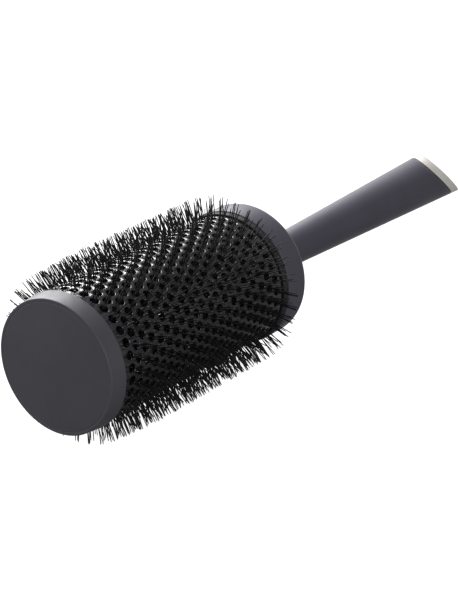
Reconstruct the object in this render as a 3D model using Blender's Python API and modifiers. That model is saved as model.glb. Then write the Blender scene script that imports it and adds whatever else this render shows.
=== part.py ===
"""Round barrel brush: a vented barrel on a twisted-wire bristle core, with a tapered handle.

The brush lies on its bristles with the barrel axis along +X and +Z up. Distances written as a
station are measured along that axis, in metres, from the flat face of the front cap.
"""

import math

import bmesh
import bpy
from mathutils import Matrix

MM = 0.001

# Clearance between neighbouring pieces, on a radius or along the axis
GAP = 0.3 * MM

# Front cap: its face is a little narrower than the barrel, and its rear edge a little wider
CAP_FACE_SETBACK = 0.1 * MM
CAP_REAR_PROUD = 0.6 * MM
CAP_LENGTH = 7.8 * MM
CAP_FACE_THICKNESS = 2.4 * MM
CAP_EDGE_ROUND = 0.4 * MM

# Barrel and its vents
BARREL_RADIUS = 27.5 * MM
BARREL_WALL = 0.8 * MM
VENT_WIDTH = 3.3 * MM
ROW_COUNT = 21
ROW_PITCH = 4.7 * MM
FIRST_ROW_SETBACK = 4.1 * MM
LAST_ROW_SETBACK = 11.8 * MM

# Bristle rows: tufts on a binding ring, one tuft through each vent
TUFTS_PER_ROW = 12
TUFT_WIDTH = 1.1 * MM
BRISTLE_REACH = 9.9 * MM

# Twisted core of two steel wires
WIRE_RADIUS = 1.1 * MM
STRAND_OFFSET = 1.4 * MM
TWIST_PITCH = 30.0 * MM
POINTS_PER_TURN = 8
WIRE_TAIL_IN_HANDLE = 31.0 * MM

# Bulkheads that close the barrel and hold the core on its axis
BULKHEAD_RIM_WALL = 2.0 * MM
BULKHEAD_WEB = 2.4 * MM
FRONT_BULKHEAD_DEPTH = 7.2 * MM
REAR_BULKHEAD_DEPTH = 8.5 * MM
BOSS_WALL = 3.6 * MM
BOSS_LENGTH = 10.1 * MM

# Seal ring and rear collar, both round the outside of the barrel
SEAL_WIDTH = 2.6 * MM
SEAL_DEPTH = 0.55 * MM
COLLAR_WALL = 1.0 * MM
COLLAR_LENGTH = 13.9 * MM
COLLAR_ROUND = 3.6 * MM
COLLAR_REAR_WALL = 2.1 * MM
COLLAR_OVERLAP = 4.9 * MM

# Handle: a straight taper that ends in an oblique cut
HANDLE_LENGTH = 148.2 * MM
HANDLE_START_RADIUS = 7.0 * MM
HANDLE_END_RADIUS = 11.7 * MM
GRIP_WALL = 1.3 * MM
HANDLE_CORE_WALL = 1.0 * MM
FERRULE_LENGTH = 12.0 * MM
FERRULE_WALL = 0.7 * MM
CUT_ANGLE = math.radians(54.0)
CUT_ROLL = math.radians(28.0)

# End plug, parallel to the oblique cut
PLUG_THICKNESS = 6.8 * MM
PLUG_FACE_WALL = 1.6 * MM
PLUG_SPIGOT_DEPTH = 8.0 * MM
PLUG_SPIGOT_WALL = 1.0 * MM

# Facets round a full turn
HEAD_STEPS = 4 * TUFTS_PER_ROW
HANDLE_STEPS = 32
FERRULE_STEPS = 16
BORE_SIDES = 8

# Stations along the axis that follow from the sizes above
BARREL_FRONT = CAP_LENGTH + GAP
FIRST_ROW = BARREL_FRONT + FIRST_ROW_SETBACK
LAST_ROW = FIRST_ROW + (ROW_COUNT - 1) * ROW_PITCH
BARREL_REAR = LAST_ROW + LAST_ROW_SETBACK
COLLAR_FRONT = BARREL_REAR - COLLAR_OVERLAP
COLLAR_REAR = COLLAR_FRONT + COLLAR_LENGTH
SEAL_FRONT = COLLAR_FRONT - GAP - SEAL_WIDTH
COLLAR_INNER_END = COLLAR_REAR - COLLAR_REAR_WALL
REAR_BULKHEAD_FRONT = BARREL_REAR - GAP - REAR_BULKHEAD_DEPTH
REAR_WEB_BACK = REAR_BULKHEAD_FRONT + BULKHEAD_WEB
BOSS_END = REAR_WEB_BACK + BOSS_LENGTH
GRIP_FRONT = BOSS_END + GAP
HANDLE_CORE_FRONT = REAR_WEB_BACK + GAP
CUT_STATION = COLLAR_REAR + HANDLE_LENGTH
FRONT_BULKHEAD_FRONT = CAP_FACE_THICKNESS + GAP
FRONT_BULKHEAD_BACK = FRONT_BULKHEAD_FRONT + FRONT_BULKHEAD_DEPTH
WIRE_FRONT = FRONT_BULKHEAD_BACK - BULKHEAD_WEB
WIRE_BACK = GRIP_FRONT + WIRE_TAIL_IN_HANDLE

# Radii that follow from the sizes above
BARREL_BORE = BARREL_RADIUS - BARREL_WALL
SLEEVE_BORE = BARREL_RADIUS + GAP
CAP_FACE_RADIUS = BARREL_RADIUS - CAP_FACE_SETBACK
CAP_REAR_RADIUS = BARREL_RADIUS + CAP_REAR_PROUD
SEAL_RADIUS = SLEEVE_BORE + SEAL_DEPTH
COLLAR_RADIUS = SLEEVE_BORE + COLLAR_WALL
BULKHEAD_RADIUS = BARREL_BORE - GAP
RIM_BORE = BULKHEAD_RADIUS - BULKHEAD_RIM_WALL
CORE_RADIUS = STRAND_OFFSET + WIRE_RADIUS
CORE_BORE = CORE_RADIUS + GAP
TIP_RADIUS = BARREL_RADIUS + BRISTLE_REACH
FERRULE_RADIUS = CORE_BORE + FERRULE_WALL
HANDLE_CORE_BORE = FERRULE_RADIUS + GAP
TAPER = (HANDLE_END_RADIUS - HANDLE_START_RADIUS) / HANDLE_LENGTH
CUT_SLOPE = math.tan(CUT_ANGLE)
CUT_GAP = GAP / math.cos(CUT_ANGLE)
PLUG_BACK = CUT_STATION + PLUG_THICKNESS

# Tufts stand this far either side of straight down, so that the brush rests on two lines of them
REST_ANGLE = math.radians(360 / TUFTS_PER_ROW / 4)
AXIS_HEIGHT = TIP_RADIUS * math.cos(REST_ANGLE) + TUFT_WIDTH / 2 * math.sin(REST_ANGLE)


def clear_scene():
    for obj in list(bpy.data.objects):
        bpy.data.objects.remove(obj)


def new_collection(name, hidden=False):
    collection = bpy.data.collections.new(name)
    collection.hide_render = hidden
    bpy.context.scene.collection.children.link(collection)
    return collection


def handle_radius(station):
    return HANDLE_START_RADIUS + TAPER * (station - COLLAR_REAR)


def plug_reach():
    """The furthest station of the end plug, on the long side of the oblique cut."""
    return PLUG_BACK + CUT_SLOPE * handle_radius(PLUG_BACK) / (1 - CUT_SLOPE * TAPER)


def new_material(name, colour, roughness, metallic=0.0):
    material = bpy.data.materials.new(name)
    material.use_nodes = True
    shader = material.node_tree.nodes["Principled BSDF"]
    shader.inputs["Base Color"].default_value = (*colour, 1.0)
    shader.inputs["Roughness"].default_value = roughness
    shader.inputs["Metallic"].default_value = metallic
    return material


def new_axis(total_length):
    """An empty whose +Z runs along the barrel axis, from the front face, and whose +X points down."""
    axis = bpy.data.objects.new("brush_axis", None)
    axis.location = (-total_length / 2, 0.0, AXIS_HEIGHT)
    axis.rotation_euler = (0.0, math.radians(90), 0.0)
    bpy.context.scene.collection.objects.link(axis)
    return axis


def place(name, data, station=0.0, roll=0.0):
    obj = bpy.data.objects.new(name, data)
    obj.parent = AXIS
    obj.location = (0.0, 0.0, station)
    obj.rotation_euler = (0.0, 0.0, roll)
    return obj


def shade_round(obj):
    obj.data.shade_smooth()
    obj.data.set_sharp_from_angle(angle=math.radians(35))


def add_part(obj, material):
    PARTS.objects.link(obj)
    obj.data.materials.clear()
    obj.data.materials.append(material)
    return obj


def add_cutter(obj):
    CUTTERS.objects.link(obj)
    obj.hide_render = True
    obj.display_type = "WIRE"
    return obj


def turned(name, outline, steps, closed=True):
    """A turned piece. The outline is a list of (radius, station) that runs down its outer side."""
    points = [(radius, 0.0, station) for radius, station in outline]
    edges = [(index, index + 1) for index in range(len(points) - 1)]
    if closed:
        edges.append((len(points) - 1, 0))
    mesh = bpy.data.meshes.new(name)
    mesh.from_pydata(points, edges, [])
    obj = place(name, mesh, roll=math.pi / steps)
    screw = obj.modifiers.new("turn", "SCREW")
    screw.axis = "Z"
    screw.steps = steps
    screw.render_steps = steps
    screw.use_merge_vertices = True
    screw.merge_threshold = 0.00001
    screw.use_smooth_shade = False
    return obj


def arc(centre, radius, start, end, count):
    """Points on an arc in the (radius, station) plane, from one angle to another, in degrees."""
    points = []
    for index in range(count + 1):
        angle = math.radians(start + (end - start) * index / count)
        points.append((centre[0] + radius * math.cos(angle), centre[1] + radius * math.sin(angle)))
    return points


def add_boolean(obj, other, operation):
    boolean = obj.modifiers.new(operation.lower(), "BOOLEAN")
    boolean.operation = operation
    boolean.solver = "EXACT"
    boolean.object = other


def oblique_block(name, station, depth):
    """A block whose near face lies along the oblique cut at this station."""
    width = 8 * HANDLE_END_RADIUS
    mesh = bpy.data.meshes.new(name)
    shape = bmesh.new()
    bmesh.ops.create_cube(shape, size=1.0)
    bmesh.ops.translate(shape, vec=(0.0, 0.0, 0.5), verts=shape.verts)
    along_normal = depth * math.cos(CUT_ANGLE)
    bmesh.ops.scale(shape, vec=(width, width, along_normal), verts=shape.verts)
    shape.to_mesh(mesh)
    shape.free()
    block = place(name, mesh, station)
    block.rotation_euler = (0.0, -CUT_ANGLE, CUT_ROLL)
    return add_cutter(block)


def make_front_cap():
    turn = (CAP_FACE_RADIUS - CAP_EDGE_ROUND, CAP_EDGE_ROUND)
    inner_radius = BULKHEAD_RADIUS + GAP
    outline = [
        (0.0, CAP_FACE_THICKNESS),
        (inner_radius, CAP_FACE_THICKNESS),
        (inner_radius, CAP_LENGTH),
        (CAP_REAR_RADIUS, CAP_LENGTH),
        *arc(turn, CAP_EDGE_ROUND, 0, -90, 3),
        (0.0, 0.0),
    ]
    cap = turned("front_cap", outline, HEAD_STEPS, closed=False)
    return add_part(cap, new_material("cap_soft_touch", (0.060, 0.060, 0.072), 0.62))


def make_front_bulkhead():
    web_front = FRONT_BULKHEAD_BACK - BULKHEAD_WEB
    outline = [
        (BULKHEAD_RADIUS, FRONT_BULKHEAD_BACK),
        (BULKHEAD_RADIUS, FRONT_BULKHEAD_FRONT),
        (RIM_BORE, FRONT_BULKHEAD_FRONT),
        (RIM_BORE, web_front),
        (CORE_BORE, web_front),
        (CORE_BORE, FRONT_BULKHEAD_BACK),
    ]
    bulkhead = turned("front_bulkhead", outline, HEAD_STEPS)
    return add_part(bulkhead, new_material("front_bulkhead_nylon", (0.020, 0.020, 0.022), 0.55))


def row_station(row):
    return FIRST_ROW + row * ROW_PITCH


def row_roll(row):
    """Alternate rows are turned by half the spacing of the tufts."""
    return REST_ANGLE if row % 2 else -REST_ANGLE


def make_vent_cutter():
    """Square punches, one for each vent of the barrel."""
    shape = bmesh.new()
    length = 10 * BARREL_WALL
    for row in range(ROW_COUNT):
        for tuft in range(TUFTS_PER_ROW):
            angle = row_roll(row) + 2 * math.pi * tuft / TUFTS_PER_ROW
            turn = Matrix.Rotation(angle, 4, "Z")
            shift = Matrix.Translation((BARREL_RADIUS, 0.0, row_station(row)))
            size = Matrix.Diagonal((length, VENT_WIDTH, VENT_WIDTH, 1.0))
            bmesh.ops.create_cube(shape, size=1.0, matrix=turn @ shift @ size)
    mesh = bpy.data.meshes.new("vent_punches")
    shape.to_mesh(mesh)
    shape.free()
    return add_cutter(place("vent_punches", mesh))


def make_barrel():
    outline = [
        (BARREL_RADIUS, BARREL_REAR),
        (BARREL_RADIUS, BARREL_FRONT),
        (BARREL_BORE, BARREL_FRONT),
        (BARREL_BORE, BARREL_REAR),
    ]
    barrel = turned("barrel", outline, HEAD_STEPS)
    add_boolean(barrel, make_vent_cutter(), "DIFFERENCE")
    return add_part(barrel, new_material("barrel_ceramic", (0.045, 0.044, 0.052), 0.28, 0.35))


def make_bristle_mesh():
    """A binding ring whose every second side is drawn out into a tuft."""
    sides = 2 * TUFTS_PER_ROW
    ring_radius = TUFT_WIDTH / 2 / math.sin(math.pi / sides)
    ring_flat = ring_radius * math.cos(math.pi / sides)
    shape = bmesh.new()
    bmesh.ops.create_cone(
        shape,
        cap_ends=True,
        segments=sides,
        radius1=ring_radius,
        radius2=ring_radius,
        depth=TUFT_WIDTH,
        matrix=Matrix.Rotation(math.pi / sides, 4, "Z"),
    )
    walls = [face for face in shape.faces if abs(face.normal.z) < 0.5]
    for wall in walls:
        turn = math.atan2(wall.normal.y, wall.normal.x) / (2 * math.pi / sides)
        if round(turn) % 2:
            continue
        outward = wall.normal.copy()
        drawn = bmesh.ops.extrude_discrete_faces(shape, faces=[wall])["faces"]
        bmesh.ops.translate(shape, vec=outward * (TIP_RADIUS - ring_flat), verts=drawn[0].verts)
    mesh = bpy.data.meshes.new("bristle_row")
    shape.to_mesh(mesh)
    shape.free()
    return mesh


def make_core_bore():
    """A prism that opens the binding rings for the twisted wires."""
    shape = bmesh.new()
    radius = CORE_BORE / math.cos(math.pi / BORE_SIDES)
    length = 2 * (BARREL_REAR - BARREL_FRONT)
    bmesh.ops.create_cone(
        shape, cap_ends=True, segments=BORE_SIDES, radius1=radius, radius2=radius, depth=length
    )
    mesh = bpy.data.meshes.new("core_bore")
    shape.to_mesh(mesh)
    shape.free()
    return add_cutter(place("core_bore", mesh, (BARREL_FRONT + BARREL_REAR) / 2))


def make_bristle_rows():
    mesh = make_bristle_mesh()
    bore = make_core_bore()
    nylon = new_material("bristle_nylon", (0.008, 0.008, 0.009), 0.40)
    for row in range(ROW_COUNT):
        bristles = place(f"bristle_row_{row + 1:02d}", mesh, row_station(row), row_roll(row))
        add_boolean(bristles, bore, "DIFFERENCE")
        add_part(bristles, nylon)


def make_core_wire(name, start_angle, material):
    """One strand of the twisted pair, as a helix about the barrel axis."""
    length = WIRE_BACK - WIRE_FRONT
    count = math.ceil(length / TWIST_PITCH * POINTS_PER_TURN)
    curve = bpy.data.curves.new(name, "CURVE")
    curve.dimensions = "3D"
    curve.bevel_depth = WIRE_RADIUS
    curve.bevel_resolution = 1
    curve.use_fill_caps = True
    strand = curve.splines.new("POLY")
    strand.points.add(count)
    for index, point in enumerate(strand.points):
        along = length * index / count
        angle = start_angle + 2 * math.pi * along / TWIST_PITCH
        point.co = (STRAND_OFFSET * math.cos(angle), STRAND_OFFSET * math.sin(angle), along, 1.0)
    return add_part(place(name, curve, WIRE_FRONT), material)


def make_core_wires():
    steel = new_material("core_steel", (0.55, 0.55, 0.56), 0.35, 1.0)
    make_core_wire("core_wire_a", 0.0, steel)
    make_core_wire("core_wire_b", math.pi, steel)


def make_rear_bulkhead():
    boss_bore = spigot_radius() + GAP
    boss_radius = boss_bore + BOSS_WALL
    rim_back = REAR_BULKHEAD_FRONT + REAR_BULKHEAD_DEPTH
    outline = [
        (BULKHEAD_RADIUS, rim_back),
        (BULKHEAD_RADIUS, REAR_BULKHEAD_FRONT),
        (CORE_BORE, REAR_BULKHEAD_FRONT),
        (CORE_BORE, REAR_WEB_BACK),
        (boss_bore, REAR_WEB_BACK),
        (boss_bore, BOSS_END),
        (boss_radius, BOSS_END),
        (boss_radius, REAR_WEB_BACK),
        (RIM_BORE, REAR_WEB_BACK),
        (RIM_BORE, rim_back),
    ]
    bulkhead = turned("rear_bulkhead", outline, HEAD_STEPS)
    return add_part(bulkhead, new_material("rear_bulkhead_nylon", (0.020, 0.020, 0.022), 0.55))


def make_seal_ring():
    chamfer = SEAL_DEPTH / 2
    back = SEAL_FRONT + SEAL_WIDTH
    outline = [
        (SLEEVE_BORE, back),
        (SEAL_RADIUS - chamfer, back),
        (SEAL_RADIUS, back - chamfer),
        (SEAL_RADIUS, SEAL_FRONT + chamfer),
        (SEAL_RADIUS - chamfer, SEAL_FRONT),
        (SLEEVE_BORE, SEAL_FRONT),
    ]
    seal = turned("seal_ring", outline, HEAD_STEPS)
    return add_part(seal, new_material("seal_rubber", (0.006, 0.006, 0.007), 0.70))


def make_collar():
    mouth = handle_radius(COLLAR_REAR) + GAP
    shoulder = (COLLAR_RADIUS - COLLAR_ROUND, COLLAR_REAR - COLLAR_ROUND)
    inner_round = COLLAR_ROUND - COLLAR_WALL
    inner_shoulder = (SLEEVE_BORE - inner_round, COLLAR_INNER_END - inner_round)
    outline = [
        (mouth, COLLAR_REAR),
        *arc(shoulder, COLLAR_ROUND, 90, 0, 4),
        (COLLAR_RADIUS, COLLAR_FRONT),
        (SLEEVE_BORE, COLLAR_FRONT),
        *arc(inner_shoulder, inner_round, 0, 90, 2),
        (mouth, COLLAR_INNER_END),
    ]
    collar = turned("rear_collar", outline, HEAD_STEPS)
    return add_part(collar, new_material("collar_soft_touch", (0.058, 0.058, 0.070), 0.60))


def spigot_radius():
    """Radius of the handle core where it enters the boss of the rear bulkhead."""
    return handle_radius(GRIP_FRONT) - GRIP_WALL - GAP


def make_handle_core():
    past_cut = PLUG_BACK + 2 * HANDLE_END_RADIUS
    ferrule_seat = WIRE_BACK + GAP
    skin = GRIP_WALL + GAP
    hollow = skin + HANDLE_CORE_WALL
    outline = [
        (handle_radius(past_cut) - skin, past_cut),
        (spigot_radius(), GRIP_FRONT),
        (spigot_radius(), HANDLE_CORE_FRONT),
        (HANDLE_CORE_BORE, HANDLE_CORE_FRONT),
        (HANDLE_CORE_BORE, ferrule_seat),
        (handle_radius(ferrule_seat) - hollow, ferrule_seat),
        (handle_radius(past_cut) - hollow, past_cut),
    ]
    core = turned("handle_core", outline, HANDLE_STEPS)
    end = CUT_STATION - PLUG_SPIGOT_DEPTH - CUT_GAP
    add_boolean(core, oblique_block("handle_core_cut", end, past_cut), "DIFFERENCE")
    return add_part(core, new_material("handle_core_plastic", (0.030, 0.030, 0.033), 0.50))


def make_wire_ferrule():
    front = WIRE_BACK - FERRULE_LENGTH
    outline = [
        (FERRULE_RADIUS, WIRE_BACK),
        (FERRULE_RADIUS, front),
        (CORE_BORE, front),
        (CORE_BORE, WIRE_BACK),
    ]
    ferrule = turned("wire_ferrule", outline, FERRULE_STEPS)
    return add_part(ferrule, new_material("ferrule_brass", (0.60, 0.42, 0.16), 0.35, 1.0))


def make_grip():
    past_cut = PLUG_BACK + 2 * HANDLE_END_RADIUS
    outline = [
        (handle_radius(past_cut), past_cut),
        (handle_radius(GRIP_FRONT), GRIP_FRONT),
        (handle_radius(GRIP_FRONT) - GRIP_WALL, GRIP_FRONT),
        (handle_radius(past_cut) - GRIP_WALL, past_cut),
    ]
    grip = turned("grip_sleeve", outline, HANDLE_STEPS)
    add_boolean(grip, oblique_block("grip_cut", CUT_STATION, past_cut), "DIFFERENCE")
    return add_part(grip, new_material("grip_soft_touch", (0.055, 0.053, 0.066), 0.58))


def plug_cone(name, skin, face_station, depth):
    """A tapered cutter that lies this far inside the handle's surface, cut oblique at both ends."""
    low = face_station - depth - 3 * HANDLE_END_RADIUS
    high = face_station + 3 * HANDLE_END_RADIUS
    outline = [
        (0.0, high),
        (handle_radius(high) - skin, high),
        (handle_radius(low) - skin, low),
        (0.0, low),
    ]
    cone = turned(name, outline, HANDLE_STEPS, closed=False)
    slab = oblique_block(name + "_slab", face_station - depth, depth)
    add_boolean(cone, slab, "INTERSECT")
    return cone


def make_end_plug():
    """The metal plug: a head flush with the grip and a spigot inside it, cast with an open back."""
    plug = plug_cone("end_plug", 0.0, PLUG_BACK, PLUG_THICKNESS - CUT_GAP)
    skin = GRIP_WALL + GAP
    spigot_depth = PLUG_THICKNESS + PLUG_SPIGOT_DEPTH - PLUG_FACE_WALL / 2
    spigot = plug_cone("plug_spigot", skin, PLUG_BACK - PLUG_FACE_WALL / 2, spigot_depth)
    hollow_face = PLUG_BACK - PLUG_FACE_WALL
    hollow_depth = 2 * spigot_depth
    hollow = plug_cone("plug_hollow", skin + PLUG_SPIGOT_WALL, hollow_face, hollow_depth)
    add_boolean(plug, add_cutter(spigot), "UNION")
    add_boolean(plug, add_cutter(hollow), "DIFFERENCE")
    return add_part(plug, new_material("plug_metal", (0.72, 0.68, 0.60), 0.30, 1.0))


clear_scene()
PARTS = new_collection("round_barrel_brush")
CUTTERS = new_collection("cutters", hidden=True)
AXIS = new_axis(plug_reach())
make_front_cap()
make_front_bulkhead()
make_barrel()
make_bristle_rows()
make_core_wires()
make_rear_bulkhead()
make_seal_ring()
make_collar()
make_wire_ferrule()
make_handle_core()
make_grip()
make_end_plug()
for part in PARTS.objects:
    if part.type == "MESH":
        shade_round(part)
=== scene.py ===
"""Looks of the round barrel brush: a vented ceramic barrel with nylon tufts, soft-touch cap, collar
and handle, and a satin metal end. Distances are metres. A station is measured along the barrel axis
from the flat face of the front cap, and an angle round the axis starts straight down, towards +Y."""

import math
import random

import bmesh
import bpy
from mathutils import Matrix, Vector


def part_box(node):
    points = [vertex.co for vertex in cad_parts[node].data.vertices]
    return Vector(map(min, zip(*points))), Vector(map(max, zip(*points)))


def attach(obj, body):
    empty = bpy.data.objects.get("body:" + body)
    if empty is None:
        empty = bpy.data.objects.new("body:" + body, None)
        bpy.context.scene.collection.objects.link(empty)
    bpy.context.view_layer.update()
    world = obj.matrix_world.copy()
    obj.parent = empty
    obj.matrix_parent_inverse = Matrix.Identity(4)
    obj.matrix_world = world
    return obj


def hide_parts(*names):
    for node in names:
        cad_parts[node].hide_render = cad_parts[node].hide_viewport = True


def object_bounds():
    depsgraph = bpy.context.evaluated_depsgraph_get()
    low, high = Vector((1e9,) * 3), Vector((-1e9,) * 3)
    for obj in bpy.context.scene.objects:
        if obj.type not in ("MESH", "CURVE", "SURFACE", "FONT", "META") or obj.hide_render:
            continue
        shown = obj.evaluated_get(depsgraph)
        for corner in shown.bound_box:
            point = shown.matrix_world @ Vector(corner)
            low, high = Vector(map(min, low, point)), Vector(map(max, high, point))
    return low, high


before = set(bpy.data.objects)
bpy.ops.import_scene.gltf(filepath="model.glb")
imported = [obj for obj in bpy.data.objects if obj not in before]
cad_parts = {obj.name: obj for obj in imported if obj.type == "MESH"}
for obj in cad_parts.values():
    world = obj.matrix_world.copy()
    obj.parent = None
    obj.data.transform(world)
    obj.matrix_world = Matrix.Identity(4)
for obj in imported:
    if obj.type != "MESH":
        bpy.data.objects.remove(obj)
CAD_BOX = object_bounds()

MM = 0.001
SEED = 7

# Places that the frame gives
HEAD_FACETS = 48
FACET_SHORTFALL = math.cos(math.pi / HEAD_FACETS)
FACE_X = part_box("front_cap")[0].x
AXIS_Z = (CAD_BOX[0].z + CAD_BOX[1].z) / 2


def half_width(node):
    low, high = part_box(node)
    return (high.y - low.y) / 2


def first_station(node):
    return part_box(node)[0].x - FACE_X


def last_station(node):
    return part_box(node)[1].x - FACE_X


BARREL_RADIUS = half_width("barrel") / FACET_SHORTFALL
CAP_REAR_RADIUS = half_width("front_cap") / FACET_SHORTFALL
COLLAR_RADIUS = half_width("rear_collar") / FACET_SHORTFALL
SEAL_RADIUS = half_width("seal_ring") / FACET_SHORTFALL
FIRST_ROW = (first_station("bristle_row_01") + last_station("bristle_row_01")) / 2
LAST_ROW = (first_station("bristle_row_21") + last_station("bristle_row_21")) / 2
ROW_COUNT = 21
ROW_PITCH = (LAST_ROW - FIRST_ROW) / (ROW_COUNT - 1)
TIP_CLEARANCE = 0.1 * MM
TIP_RADIUS = AXIS_Z - CAD_BOX[0].z - TIP_CLEARANCE

# Sizes that follow the CAD source
GAP = 0.3 * MM
CAP_EDGE_ROUND = 0.4 * MM
CAP_FACE_SETBACK = 0.1 * MM
BARREL_WALL = 0.8 * MM
HANDLE_START_RADIUS = 7.0 * MM
HANDLE_END_RADIUS = 11.7 * MM
HANDLE_LENGTH = 148.2 * MM
GRIP_WALL = 1.3 * MM
CUT_ANGLE = math.radians(54.0)
CUT_SLOPE = math.tan(CUT_ANGLE)
CUT_ROLL = math.radians(28.0)
PLUG_THICKNESS = 6.8 * MM
COLLAR_REAR = last_station("rear_collar")
TAPER = (HANDLE_END_RADIUS - HANDLE_START_RADIUS) / HANDLE_LENGTH
CUT_STATION = COLLAR_REAR + HANDLE_LENGTH

# Fine detail that only the looks have
VENTS_PER_ROW = 34
VENT_RADIUS = 1.85 * MM
VENT_EDGE_ROUND = 0.22 * MM
VENT_POINTS = 16
FILAMENT_RADIUS = 0.22 * MM
FILAMENTS_PER_TUFT = 3
FRONT_TRIM = 1.6 * MM
END_LEAN = math.radians(7)
TILT_SPREAD_DEGREES = 3.0
SWING_SPREAD_DEGREES = 4.5
TIP_SPREAD_MM = 0.30
TIP_SPREAD_LIMIT_MM = 1.2


# ---------------------------------------------------------------- mesh building


def at(radius, angle, station):
    """The point in the row frame at this radius, angle and station."""
    y = radius * math.sin(angle)
    z = AXIS_Z - radius * math.cos(angle)
    return (FACE_X + station, y, z)


def new_piece(name, points, faces, material, sharp_degrees=35):
    mesh = bpy.data.meshes.new(name)
    mesh.from_pydata(points, [], faces)
    shape = bmesh.new()
    shape.from_mesh(mesh)
    bmesh.ops.remove_doubles(shape, verts=shape.verts, dist=0.002 * MM)
    bmesh.ops.recalc_face_normals(shape, faces=shape.faces)
    shape.to_mesh(mesh)
    shape.free()
    mesh.shade_smooth()
    mesh.set_sharp_from_angle(angle=math.radians(sharp_degrees))
    mesh.materials.append(material)
    piece = bpy.data.objects.new(name, mesh)
    bpy.context.scene.collection.objects.link(piece)
    return piece


def stand_for(piece, slot, *nodes):
    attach(piece, "root")
    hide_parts(*nodes)


def loop_faces(rows, closed):
    """Quads between rows of points. Each row goes round, and closed joins the last row to the first."""
    count = len(rows[0])
    faces = []
    pairs = list(zip(rows, rows[1:]))
    if closed:
        pairs.append((rows[-1], rows[0]))
    for near, far in pairs:
        for index in range(count):
            after = (index + 1) % count
            faces.append((near[index], near[after], far[after], far[index]))
    return faces


def ringed(name, rings, material, closed=True, sharp_degrees=35):
    """A piece from rings of points, each a list of (x, y, z) of the same length."""
    points = []
    rows = []
    for ring in rings:
        rows.append(range(len(points), len(points) + len(ring)))
        points.extend(ring)
    return new_piece(name, points, loop_faces(rows, closed), material, sharp_degrees)


def arc(centre, radius, start, end, count):
    """Points on an arc in the (radius, station) plane, from one angle to another, in degrees."""
    points = []
    for index in range(count + 1):
        angle = math.radians(start + (end - start) * index / count)
        points.append((centre[0] + radius * math.cos(angle), centre[1] + radius * math.sin(angle)))
    return points


def turned(name, outline, material, segments=192, closed=True, sharp_degrees=35):
    """A turned piece from a list of (radius, station)."""
    rings = []
    for radius, station in outline:
        turn = [2 * math.pi * index / segments for index in range(segments)]
        rings.append([at(max(radius, 0.0), angle, station) for angle in turn])
    return ringed(name, rings, material, closed, sharp_degrees)


# ---------------------------------------------------------------- materials


class Painter:
    """Short names for the nodes of one procedural material."""

    def __init__(self, name):
        self.material = bpy.data.materials.new(name)
        self.material.use_nodes = True
        self.tree = self.material.node_tree
        self.shader = self.tree.nodes["Principled BSDF"]
        self.place = self.add("ShaderNodeTexCoord").outputs["Object"]

    def add(self, kind, **values):
        node = self.tree.nodes.new(kind)
        for key, value in values.items():
            setattr(node, key, value)
        return node

    def fix(self, **values):
        for key, value in values.items():
            self.shader.inputs[key.replace("_", " ")].default_value = value

    def link(self, output, name):
        self.tree.links.new(output, self.shader.inputs[name])

    def noise(self, scale, detail=3.0, stretch=None):
        node = self.add("ShaderNodeTexNoise")
        node.inputs["Scale"].default_value = scale
        node.inputs["Detail"].default_value = detail
        where = self.place
        if stretch:
            mapping = self.add("ShaderNodeMapping")
            mapping.inputs["Scale"].default_value = stretch
            self.tree.links.new(where, mapping.inputs["Vector"])
            where = mapping.outputs["Vector"]
        self.tree.links.new(where, node.inputs["Vector"])
        return node.outputs["Fac"]

    def spread(self, value, low, high, start=0.3, end=0.7):
        """Maps a noise value to a range of numbers."""
        node = self.add("ShaderNodeMapRange")
        for key, number in (("From Min", start), ("From Max", end), ("To Min", low), ("To Max", high)):
            node.inputs[key].default_value = number
        self.tree.links.new(value, node.inputs["Value"])
        return node.outputs["Result"]

    def ramp(self, value, dark, light, start=0.3, end=0.7):
        node = self.add("ShaderNodeValToRGB")
        first, second = node.color_ramp.elements
        first.position, first.color = start, (*dark, 1.0)
        second.position, second.color = end, (*light, 1.0)
        self.tree.links.new(value, node.inputs["Fac"])
        return node.outputs["Color"]

    def bump(self, value, depth, strength=1.0):
        node = self.add("ShaderNodeBump")
        node.inputs["Distance"].default_value = depth
        node.inputs["Strength"].default_value = strength
        self.tree.links.new(value, node.inputs["Height"])
        self.link(node.outputs["Normal"], "Normal")


def shade(colour, factor):
    return tuple(channel * factor for channel in colour)


def soft_touch(name, colour, roughness, sheen):
    """Soft lacquer: a velvety surface with faint clouding from handling and a fine tooth."""
    paint = Painter(name)
    cloud = paint.noise(45, 4.0)
    paint.link(paint.ramp(cloud, shade(colour, 0.90), shade(colour, 1.10)), "Base Color")
    paint.link(paint.spread(paint.noise(70, 5.0), roughness - 0.05, roughness + 0.06), "Roughness")
    paint.bump(paint.noise(2600, 2.0), 0.05 * MM, 0.35)
    paint.fix(Sheen_Weight=sheen, Sheen_Roughness=0.3)
    return paint.material


def ceramic_coat():
    """Dark ceramic coating: glossy, with slight orange peel and fine mineral specks."""
    paint = Painter("ceramic_coat")
    speck = paint.noise(1500, 2.0)
    paint.link(paint.ramp(speck, (0.005, 0.005, 0.007), (0.011, 0.010, 0.014), 0.35, 0.75), "Base Color")
    paint.link(paint.spread(paint.noise(160, 3.0), 0.20, 0.30), "Roughness")
    paint.bump(paint.noise(900, 2.0), 0.02 * MM, 0.35)
    paint.fix(Coat_Weight=0.9, Coat_Roughness=0.10)
    return paint.material


def bristle_nylon():
    paint = Painter("bristle_nylon")
    along = paint.noise(420, 2.0)
    paint.link(paint.ramp(along, (0.003, 0.003, 0.004), (0.008, 0.008, 0.009)), "Base Color")
    paint.link(paint.spread(paint.noise(800, 2.0), 0.42, 0.58), "Roughness")
    paint.bump(paint.noise(3000, 1.0), 0.01 * MM, 0.3)
    paint.fix(Specular_IOR_Level=0.3)
    return paint.material


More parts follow.
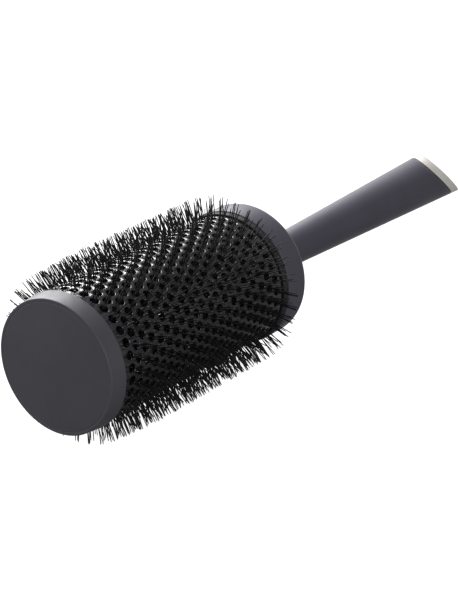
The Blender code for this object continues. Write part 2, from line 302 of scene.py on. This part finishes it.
def seal_rubber():
    paint = Painter("seal_rubber")
    paint.link(paint.ramp(paint.noise(300, 3.0), (0.004, 0.004, 0.005), (0.012, 0.012, 0.013)), "Base Color")
    paint.link(paint.spread(paint.noise(200, 3.0), 0.62, 0.78), "Roughness")
    paint.bump(paint.noise(1800, 2.0), 0.03 * MM, 0.4)
    return paint.material


def plug_metal():
    """Satin champagne metal with a fine brushed grain across the oblique face."""
    paint = Painter("plug_metal")
    grain = paint.noise(260, 3.0, stretch=(0.6, 30.0, 0.6))
    paint.link(paint.ramp(grain, (0.74, 0.715, 0.67), (0.85, 0.825, 0.78)), "Base Color")
    paint.link(paint.spread(grain, 0.30, 0.46), "Roughness")
    paint.bump(grain, 0.01 * MM, 0.25)
    paint.fix(Metallic=0.55)
    return paint.material


def moulded_plastic(name, colour):
    """Plain glass-filled nylon of the hidden mouldings, with a coarse moulded grain."""
    paint = Painter(name)
    paint.link(paint.ramp(paint.noise(240, 4.0), shade(colour, 0.8), shade(colour, 1.25)), "Base Color")
    paint.link(paint.spread(paint.noise(150, 3.0), 0.45, 0.65), "Roughness")
    paint.bump(paint.noise(1100, 2.0), 0.04 * MM, 0.4)
    return paint.material


def drawn_metal(name, dark, light, low, high):
    """Bare drawn metal with fine lines along the barrel axis."""
    paint = Painter(name)
    lines = paint.noise(500, 3.0, stretch=(0.15, 4.0, 4.0))
    paint.link(paint.ramp(lines, dark, light), "Base Color")
    paint.link(paint.spread(lines, low, high), "Roughness")
    paint.bump(lines, 0.01 * MM, 0.3)
    paint.fix(Metallic=1.0)
    return paint.material


# ---------------------------------------------------------------- the head


def make_front_cap(material):
    edge = CAP_EDGE_ROUND
    face_radius = BARREL_RADIUS - CAP_FACE_SETBACK
    length = last_station("front_cap")
    inner = BARREL_RADIUS - BARREL_WALL
    face_back = 2.4 * MM
    groove = face_radius - 1.5 * MM
    groove_half = 0.1 * MM
    groove_lip = 0.02 * MM
    groove_depth = 0.10 * MM
    rear_land = 0.5 * MM
    rear_round = 0.3 * MM
    outline = [
        (0.0, 0.0),
        (groove - 0.4 * MM, 0.0),
        (groove - groove_half, groove_lip),
        (groove, groove_depth),
        (groove + groove_half, groove_lip),
        (groove + 0.3 * MM, 0.0),
        *arc((face_radius - edge, edge), edge, -90, 0, 6),
        (CAP_REAR_RADIUS - 0.06 * MM, length - rear_land),
        *arc((CAP_REAR_RADIUS - rear_round, length - rear_round), rear_round, 10, 90, 3),
        (inner, length),
        (inner, face_back),
        (0.0, face_back),
    ]
    cap = turned("soft_touch_cap", outline, material, closed=False, sharp_degrees=50)
    stand_for(cap, "cap_soft_touch", "front_cap")


def vent_cell(centre_angle, centre_station, points, faces):
    """One cell of the barrel wall: outer skin, rounded vent edge, vent wall and inner skin."""
    half_turn = math.pi / VENTS_PER_ROW
    half_pitch = ROW_PITCH / 2
    inner = BARREL_RADIUS - BARREL_WALL
    cut = VENT_EDGE_ROUND
    steps = (
        (VENT_RADIUS + cut, BARREL_RADIUS),
        (VENT_RADIUS + 0.3 * cut, BARREL_RADIUS - 0.3 * cut),
        (VENT_RADIUS, BARREL_RADIUS - cut),
        (VENT_RADIUS, inner),
    )
    rows = []
    for depth in range(len(steps) + 2):
        row = []
        for index in range(VENT_POINTS):
            turn = 2 * math.pi * index / VENT_POINTS
            across, along = math.cos(turn), math.sin(turn)
            if depth in (0, len(steps) + 1):
                reach = max(abs(across), abs(along))
                snapped_across = round(2 * across / reach) / 2
                snapped_along = round(2 * along / reach) / 2
                angle = centre_angle + half_turn * snapped_across
                station = centre_station + half_pitch * snapped_along
                radius = BARREL_RADIUS if depth == 0 else inner
            else:
                vent, radius = steps[depth - 1]
                angle = centre_angle + vent * across / BARREL_RADIUS
                station = centre_station + vent * along
            row.append(len(points))
            points.append(at(radius, angle, station))
        rows.append(row)
    faces.extend(loop_faces(rows, closed=False))


def plain_band(start, end, points, faces):
    """A stretch of barrel with no vents, from the outer skin round a plain edge to the inner skin."""
    segments = 4 * VENTS_PER_ROW
    inner = BARREL_RADIUS - BARREL_WALL
    rows = []
    for radius, station in ((BARREL_RADIUS, start), (BARREL_RADIUS, end), (inner, end), (inner, start)):
        row = []
        for index in range(segments):
            row.append(len(points))
            points.append(at(radius, 2 * math.pi * index / segments, station))
        rows.append(row)
    faces.extend(loop_faces(rows, closed=False))


def row_station(row):
    return FIRST_ROW + row * ROW_PITCH


def vent_angle(row, vent):
    return 2 * math.pi * (vent + 0.5 * (row % 2)) / VENTS_PER_ROW


def make_barrel(material):
    points = []
    faces = []
    for row in range(ROW_COUNT):
        for vent in range(VENTS_PER_ROW):
            vent_cell(vent_angle(row, vent), row_station(row), points, faces)
    half_pitch = ROW_PITCH / 2
    plain_band(FIRST_ROW - half_pitch, first_station("barrel"), points, faces)
    plain_band(LAST_ROW + half_pitch, last_station("barrel"), points, faces)
    barrel = new_piece("vented_barrel", points, faces, material, sharp_degrees=50)
    stand_for(barrel, "barrel_ceramic", "barrel")


def filament(root, tip, bow, sides, points, faces):
    """A thin rod from root to tip, bent sideways by bow at its middle, with a slightly rounded tip."""
    along = (tip - root).normalized()
    side = along.orthogonal().normalized()
    other = along.cross(side)
    rows = []
    shares = (0.0, 0.35, 0.65, 0.85, 0.985, 1.0)
    for share in shares:
        centre = root.lerp(tip, share) + bow * (4 * share * (1 - share))
        thick = FILAMENT_RADIUS * (1.0 if share < 0.98 else (0.85 if share < 1.0 else 0.4))
        row = []
        for index in range(sides):
            turn = 2 * math.pi * index / sides
            row.append(len(points))
            points.append(centre + side * (thick * math.cos(turn)) + other * (thick * math.sin(turn)))
        rows.append(row)
    faces.extend(loop_faces(rows, closed=False))
    faces.append(tuple(rows[0]))
    faces.append(tuple(rows[-1]))


def make_tufts(row, material, chance):
    """The filaments of one row, fanned out from the twisted core and through the vents."""
    sides = 6
    root_radius = 5.0 * MM
    place = 2 * row / (ROW_COUNT - 1) - 1
    lean = END_LEAN * place
    trim = FRONT_TRIM * max(-place, 0.0) ** 3
    points = []
    faces = []
    for vent in range(VENTS_PER_ROW):
        angle = vent_angle(row, vent)
        station = row_station(row)
        spin = chance.uniform(0, math.pi)
        for strand in range(FILAMENTS_PER_TUFT):
            turn = spin + 2 * math.pi * strand / FILAMENTS_PER_TUFT
            offset = chance.uniform(0.35, 1.15) * MM
            hole_angle = angle + offset * math.cos(turn) / BARREL_RADIUS
            hole_station = station + offset * math.sin(turn)
            tilt = math.tan(lean + math.radians(chance.gauss(0, TILT_SPREAD_DEGREES)))
            swing = math.radians(chance.gauss(0, SWING_SPREAD_DEGREES))
            short = min(abs(chance.gauss(0, TIP_SPREAD_MM)), TIP_SPREAD_LIMIT_MM)
            tip_radius = TIP_RADIUS - trim - short * MM
            beyond = tip_radius - BARREL_RADIUS
            inside = BARREL_RADIUS - root_radius
            tip_station = hole_station + beyond * tilt
            tip_angle = hole_angle + beyond * math.tan(swing) / BARREL_RADIUS
            root = Vector(at(root_radius, hole_angle, hole_station - inside * math.tan(lean) * 0.9))
            knee = Vector(at(BARREL_RADIUS - BARREL_WALL, hole_angle, hole_station))
            tip = Vector(at(tip_radius, tip_angle, tip_station))
            middle = root.lerp(tip, (knee - root).length / (tip - root).length)
            filament(root, tip, (knee - middle) * 0.9, sides, points, faces)
    name = f"bristle_tufts_{row + 1:02d}"
    tufts = new_piece(name, points, faces, material, sharp_degrees=70)
    stand_for(tufts, "bristle_nylon", f"bristle_row_{row + 1:02d}")


def make_seal_ring(material):
    start = first_station("seal_ring")
    end = last_station("seal_ring")
    seat = BARREL_RADIUS + GAP
    rounding = 0.6 * (SEAL_RADIUS - seat)
    outline = [
        (seat, start),
        *arc((SEAL_RADIUS - rounding, start + rounding), rounding, -90, 0, 4),
        *arc((SEAL_RADIUS - rounding, end - rounding), rounding, 0, 90, 4),
        (seat, end),
    ]
    seal = turned("seal_band", outline, material, sharp_degrees=50)
    stand_for(seal, "seal_rubber", "seal_ring")


def make_collar(material):
    front = first_station("rear_collar")
    shoulder = 3.6 * MM
    wall = COLLAR_RADIUS - BARREL_RADIUS - GAP
    sleeve = BARREL_RADIUS + GAP
    lip = 0.3 * MM
    mouth = HANDLE_START_RADIUS + GAP
    rear_wall = 2.1 * MM
    rear_flat_middle = 16.0 * MM
    inner_round = shoulder - wall
    outline = [
        (sleeve, front),
        *arc((COLLAR_RADIUS - lip, front + lip), lip, -90, 0, 3),
        *arc((COLLAR_RADIUS - shoulder, COLLAR_REAR - shoulder), shoulder, 0, 90, 12),
        (rear_flat_middle, COLLAR_REAR),
        *arc((mouth + lip, COLLAR_REAR - lip), lip, 90, 180, 3),
        (mouth, COLLAR_REAR - rear_wall),
        *arc((sleeve - inner_round, COLLAR_REAR - rear_wall - inner_round), inner_round, 90, 0, 4),
    ]
    collar = turned("soft_touch_collar", outline, material, sharp_degrees=50)
    stand_for(collar, "collar_soft_touch", "rear_collar")


# ---------------------------------------------------------------- the handle


def handle_radius(station):
    return HANDLE_START_RADIUS + TAPER * (station - COLLAR_REAR)


def oblique_station(cut, angle, inset=0.0):
    """Where the handle's surface, or one this far inside it, meets an oblique plane through cut."""
    lean = CUT_SLOPE * math.cos(angle - CUT_ROLL)
    return cut + lean * (handle_radius(cut) - inset) / (1 - lean * TAPER)


def oblique_ring(cut, inset, segments):
    """A ring where the oblique plane through cut meets a surface this far inside the handle's."""
    ring = []
    for index in range(segments):
        angle = 2 * math.pi * index / segments
        station = oblique_station(cut, angle, inset)
        ring.append(at(handle_radius(station) - inset, angle, station))
    return ring


def blended_ring(front, cut, share, inset, segments):
    """A ring part of the way from a straight front end to an oblique plane."""
    ring = []
    for index in range(segments):
        angle = 2 * math.pi * index / segments
        station = front + (oblique_station(cut, angle, inset) - front) * share
        ring.append(at(handle_radius(station) - inset, angle, station))
    return ring


def make_grip(material):
    segments = 160
    steps = 48
    front = first_station("grip_sleeve")
    edge = 0.35 * MM
    cut = CUT_STATION - edge
    rings = [blended_ring(front, cut, step / steps, 0.0, segments) for step in range(steps + 1)]
    rings.append(oblique_ring(CUT_STATION - 0.3 * edge, 0.25 * edge, segments))
    rings.append(oblique_ring(CUT_STATION, edge, segments))
    rings.append(oblique_ring(CUT_STATION, GRIP_WALL, segments))
    rings.append(blended_ring(front, CUT_STATION, 0.5, GRIP_WALL, segments))
    rings.append(blended_ring(front, CUT_STATION, 0.0, GRIP_WALL, segments))
    grip = ringed("soft_touch_grip", rings, material, closed=True, sharp_degrees=45)
    stand_for(grip, "grip_soft_touch", "grip_sleeve")


def face_ring(cut, share, inset, segments):
    """A ring on the oblique plane, scaled towards the handle's axis."""
    centre = Vector(at(0.0, 0.0, cut))
    return [centre.lerp(Vector(point), share) for point in oblique_ring(cut, inset, segments)]


def make_end_plug(material):
    segments = 160
    edge = 0.55 * MM
    front = CUT_STATION + GAP / math.cos(CUT_ANGLE)
    back = CUT_STATION + PLUG_THICKNESS
    rings = [
        face_ring(front, 0.0, 0.0, segments),
        oblique_ring(front, 0.3 * MM, segments),
        oblique_ring(front + 0.2 * MM, 0.05 * MM, segments),
        oblique_ring((front + back) / 2, 0.0, segments),
        oblique_ring(back - edge, 0.0, segments),
        oblique_ring(back - 0.5 * edge, 0.12 * edge, segments),
        oblique_ring(back - 0.15 * edge, 0.45 * edge, segments),
        oblique_ring(back, edge, segments),
        face_ring(back, 0.5, edge, segments),
        face_ring(back, 0.0, 0.0, segments),
    ]
    plug = ringed("metal_end_plug", rings, material, closed=False, sharp_degrees=50)
    stand_for(plug, "plug_metal", "end_plug")


# ---------------------------------------------------------------- inside pieces carried over


def finish_inside(material_of):
    """The hidden CAD pieces keep their shape and take a proper finish."""
    for node, material in material_of.items():
        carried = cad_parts[node]
        carried.data.materials.clear()
        carried.data.materials.append(material)
        carried.data.shade_smooth()
        carried.data.set_sharp_from_angle(angle=math.radians(35))


# ---------------------------------------------------------------- studio

CAMERA_AZIMUTH = math.radians(-54.0)
CAMERA_ELEVATION = math.radians(22.4)
CAMERA_DISTANCE = 0.8354
CAMERA_LENS = 120.2
AIM_STATION = 110.8 * MM
AIM_BELOW_AXIS = 9.3 * MM
FLOOR_SIZE = 8.0
FLOOR_GLOW_TO_CAMERA = 1.0
FLOOR_GLOW_TO_BRUSH = 0.03
AIR_STRENGTH = 0.32
TOP_BOX_WATTS = 40.0
FRONT_FILL_WATTS = 12.0
WHITE = (1.0, 1.0, 1.0, 1.0)


def make_camera():
    data = bpy.data.cameras.new("camera")
    data.lens = CAMERA_LENS
    camera = bpy.data.objects.new("camera", data)
    level = math.cos(CAMERA_ELEVATION)
    back = Vector(
        (
            math.sin(CAMERA_AZIMUTH) * level,
            -math.cos(CAMERA_AZIMUTH) * level,
            math.sin(CAMERA_ELEVATION),
        )
    )
    aim = Vector((FACE_X + AIM_STATION, 0.0, AXIS_Z - AIM_BELOW_AXIS))
    camera.location = aim + back * CAMERA_DISTANCE
    camera.rotation_euler = (-back).to_track_quat("-Z", "Y").to_euler()
    bpy.context.scene.collection.objects.link(camera)
    bpy.context.scene.camera = camera


def soft_box(name, place, size, power, aim):
    data = bpy.data.lights.new(name, "AREA")
    data.shape = "RECTANGLE"
    data.size, data.size_y = size
    data.energy = power
    light = bpy.data.objects.new(name, data)
    light.location = place
    light.rotation_euler = (Vector(aim) - Vector(place)).to_track_quat("-Z", "Y").to_euler()
    bpy.context.scene.collection.objects.link(light)


def make_studio():
    """The floor is dark, but glows white to the camera alone, so no shadow shows on it."""
    bpy.ops.mesh.primitive_plane_add(size=FLOOR_SIZE, location=(0.0, 0.0, 0.0))
    floor = bpy.context.object
    floor.name = "studio_floor"
    paint = Painter("studio_paper")
    paint.link(paint.ramp(paint.noise(30, 3.0), (0.08, 0.08, 0.08), (0.09, 0.09, 0.09)), "Base Color")
    paint.fix(Roughness=0.75, Emission_Color=WHITE)
    seen = paint.add("ShaderNodeLightPath").outputs["Is Camera Ray"]
    glow = paint.spread(seen, FLOOR_GLOW_TO_BRUSH, FLOOR_GLOW_TO_CAMERA, 0.0, 1.0)
    paint.link(glow, "Emission Strength")
    floor.data.materials.append(paint.material)

    world = bpy.data.worlds.new("studio_air")
    world.use_nodes = True
    background = world.node_tree.nodes["Background"]
    background.inputs["Color"].default_value = WHITE
    background.inputs["Strength"].default_value = AIR_STRENGTH
    bpy.context.scene.world = world

    centre = (0.0, 0.0, AXIS_Z)
    soft_box("top_box", (0.10, 0.80, 0.64), (1.3, 0.8), TOP_BOX_WATTS, centre)
    soft_box("front_fill", (-0.7, -1.2, 0.40), (0.9, 0.9), FRONT_FILL_WATTS, centre)
    bpy.context.scene.view_settings.view_transform = "Standard"


# ---------------------------------------------------------------- the whole

make_camera()
make_studio()
chance = random.Random(SEED)
make_front_cap(soft_touch("cap_soft_touch", (0.050, 0.049, 0.060), 0.55, 0.1))
make_barrel(ceramic_coat())
nylon = bristle_nylon()
for row in range(ROW_COUNT):
    make_tufts(row, nylon, chance)
make_seal_ring(seal_rubber())
make_collar(soft_touch("collar_soft_touch", (0.050, 0.047, 0.064), 0.50, 0.25))
make_grip(soft_touch("grip_soft_touch", (0.046, 0.043, 0.061), 0.48, 0.25))
make_end_plug(plug_metal())
bulkhead = moulded_plastic("bulkhead_nylon", (0.020, 0.020, 0.022))
steel = drawn_metal("core_steel", (0.42, 0.42, 0.43), (0.62, 0.62, 0.63), 0.28, 0.45)
finish_inside(
    {
        "front_bulkhead": bulkhead,
        "rear_bulkhead": bulkhead,
        "core_wire_a": steel,
        "core_wire_b": steel,
        "wire_ferrule": drawn_metal("ferrule_brass", (0.50, 0.34, 0.12), (0.68, 0.50, 0.22), 0.28, 0.45),
        "handle_core": moulded_plastic("handle_core_plastic", (0.030, 0.030, 0.033)),
    }
)
